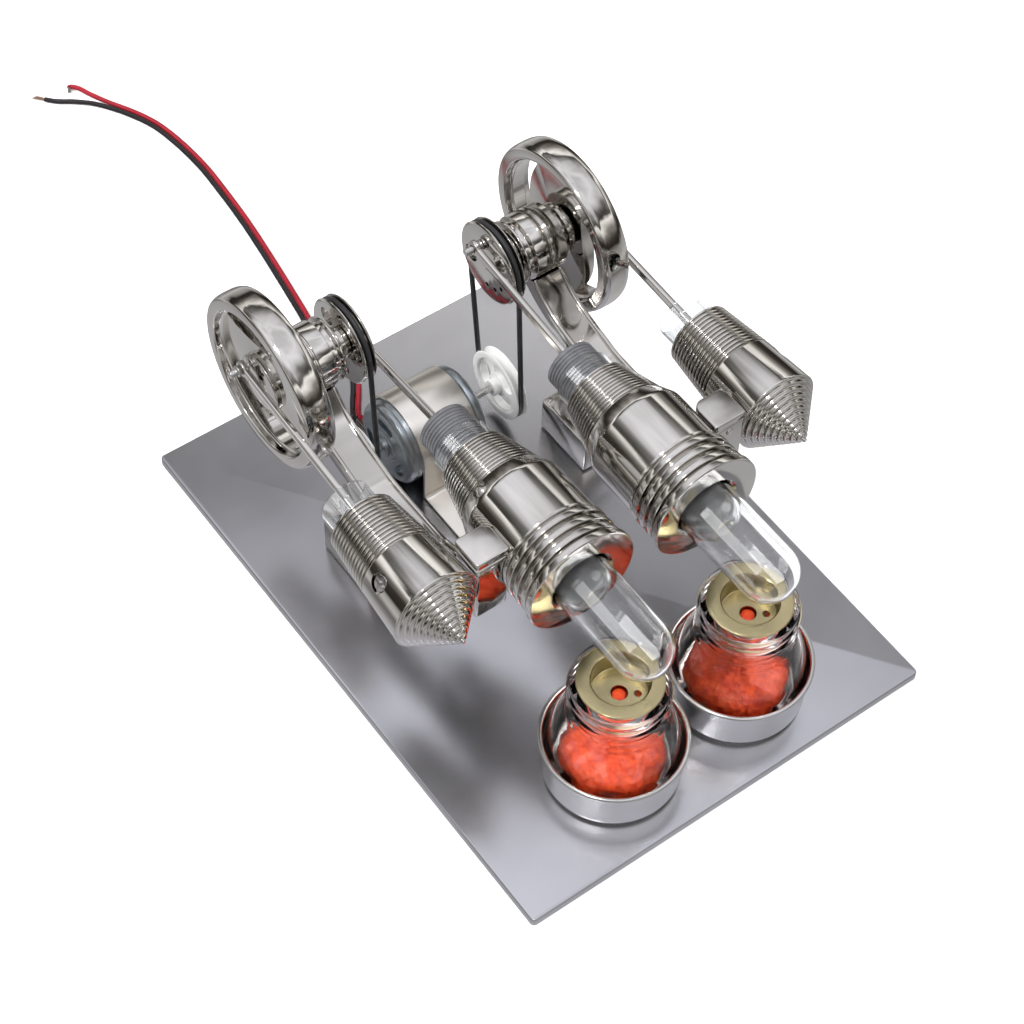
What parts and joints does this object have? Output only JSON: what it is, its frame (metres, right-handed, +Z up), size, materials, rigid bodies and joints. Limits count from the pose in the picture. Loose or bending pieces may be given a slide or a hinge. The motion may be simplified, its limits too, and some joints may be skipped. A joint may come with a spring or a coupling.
{
  "type": "stirling engine model",
  "caption": "Desk hot-air engine on a flat plate: spirit burners heat glass displacer tubes; pistons turn cranks and flywheels, belts drive generators with loose supply wires.",
  "frame": {"origin": "middle of the base plate's underside", "axes": "+X across the plate along the crank axles, +Y along the plate from the burners to the flywheels, +Z up"},
  "size_m": [0.1292, 0.3211, 0.0869],
  "materials": {
    "nickel": "polished warm nickel plate",
    "plate_steel": "satin, softly mirroring",
    "tray_steel": "spun, satin",
    "shaft_steel": "ground",
    "brass": "turned, slightly dulled",
    "motor_can": "dull grey plate",
    "glass": "clear",
    "graphite": "dark, satin",
    "pulley_plastic": "milky, slightly see-through",
    "belt_rubber": "smooth",
    "filling": "orange-red, grainy",
    "red_insulation": "soft sheen",
    "black_insulation": "soft sheen"
  },
  "bodies": {
    "base": {"base_plate": "plate_steel", "motor_strap": "nickel", "strap_screw_front": "nickel", "strap_screw_rear": "nickel", "wire_red": "red_insulation", "wire_black": "black_insulation", "left_frame": "nickel", "left_stand": "nickel", "left_bearing": "nickel", "left_power_cylinder": "nickel", "left_power_sleeve": "glass", "left_plug_screw": "nickel", "left_transfer_block": "nickel", "left_displacer_cylinder": "nickel", "left_guide_sleeve": "glass", "left_hot_tube": "glass", "left_belt": "belt_rubber", "left_generator": "motor_can", "left_burner_tray": "tray_steel", "right_frame": "nickel", "right_stand": "nickel", "right_bearing": "nickel", "right_power_cylinder": "nickel", "right_power_sleeve": "glass", "right_plug_screw": "nickel", "right_transfer_block": "nickel", "right_displacer_cylinder": "nickel", "right_guide_sleeve": "glass", "right_hot_tube": "glass", "right_belt": "belt_rubber", "right_generator": "motor_can", "right_burner_tray": "tray_steel"},
    "left_crank": {"left_crankshaft": "shaft_steel", "left_flywheel": "nickel", "left_crank_pulley": "nickel"},
    "left_rotor": {"left_generator_pulley": "pulley_plastic"},
    "left_power_piston": {"left_power_piston": "graphite"},
    "left_power_rod": {"left_power_rod": "nickel", "left_power_rod_pin": "shaft_steel"},
    "left_displacer": {"left_guide_piston": "graphite", "left_displacer": "glass"},
    "left_displacer_rod": {"left_displacer_rod": "nickel", "left_displacer_rod_pin": "shaft_steel"},
    "left_burner": {"left_burner_jar": "glass", "left_wick_cup": "brass", "left_filling": "filling"},
    "right_crank": {"right_crankshaft": "shaft_steel", "right_flywheel": "nickel", "right_crank_pulley": "nickel"},
    "right_rotor": {"right_generator_pulley": "pulley_plastic"},
    "right_power_piston": {"right_power_piston": "graphite"},
    "right_power_rod": {"right_power_rod": "nickel", "right_power_rod_pin": "shaft_steel"},
    "right_displacer": {"right_guide_piston": "graphite", "right_displacer": "glass"},
    "right_displacer_rod": {"right_displacer_rod": "nickel", "right_displacer_rod_pin": "shaft_steel"},
    "right_burner": {"right_burner_jar": "glass", "right_wick_cup": "brass", "right_filling": "filling"}
  },
  "joints": [
    {"name": "left_crank_turn", "type": "hinge", "parent": "base", "child": "left_crank", "pos_m": [-0.04, 0.0513, 0.0622], "axis": [1, 0, 0], "continuous": true},
    {"name": "left_generator_turn", "type": "hinge", "parent": "base", "child": "left_rotor", "pos_m": [-0.02355, 0.0464, 0.0161], "axis": [1, 0, 0], "continuous": true},
    {"name": "left_power_piston_slide", "type": "slide", "parent": "base", "child": "left_power_piston", "axis": [0, 1, 0], "range_m": [-0.00891, 0.00269]},
    {"name": "left_power_rod_swing", "type": "hinge", "parent": "left_power_piston", "child": "left_power_rod", "pos_m": [-0.0524, -0.00459, 0.0622], "axis": [1, 0, 0], "range_deg": [-10.53, 0.76]},
    {"name": "left_displacer_slide", "type": "slide", "parent": "base", "child": "left_displacer", "axis": [0, 1, 0], "range_m": [-0.01091, 0.00069]},
    {"name": "left_displacer_rod_swing", "type": "hinge", "parent": "left_displacer", "child": "left_displacer_rod", "pos_m": [-0.0195, 0.00941, 0.0622], "axis": [1, 0, 0], "range_deg": [-3.55, 10.63]},
    {"name": "left_burner_lift", "type": "slide", "parent": "base", "child": "left_burner", "axis": [0, 0, 1], "range_m": [0, 0.009]},
    {"name": "right_crank_turn", "type": "hinge", "parent": "base", "child": "right_crank", "pos_m": [0.04, 0.0513, 0.0622], "axis": [1, 0, 0], "continuous": true},
    {"name": "right_generator_turn", "type": "hinge", "parent": "base", "child": "right_rotor", "pos_m": [0.02355, 0.0464, 0.0161], "axis": [1, 0, 0], "continuous": true},
    {"name": "right_power_piston_slide", "type": "slide", "parent": "base", "child": "right_power_piston", "axis": [0, 1, 0], "range_m": [-0.00085, 0.01075]},
    {"name": "right_power_rod_swing", "type": "hinge", "parent": "right_power_piston", "child": "right_power_rod", "pos_m": [0.0524, -0.01265, 0.0622], "axis": [1, 0, 0], "range_deg": [-8.46, 2.82]},
    {"name": "right_displacer_slide", "type": "slide", "parent": "base", "child": "right_displacer", "axis": [0, 1, 0], "range_m": [-0.00897, 0.00263]},
    {"name": "right_displacer_rod_swing", "type": "hinge", "parent": "right_displacer", "child": "right_displacer_rod", "pos_m": [0.0195, 0.00747, 0.0622], "axis": [1, 0, 0], "range_deg": [-13.22, 0.95]},
    {"name": "right_burner_lift", "type": "slide", "parent": "base", "child": "right_burner", "axis": [0, 0, 1], "range_m": [0, 0.009]}
  ],
  "couplings": [
    {"joint": "left_generator_turn", "follows": "left_crank_turn", "ratio": 1.1523},
    {"joint": "right_generator_turn", "follows": "right_crank_turn", "ratio": 1.1523}
  ]
}
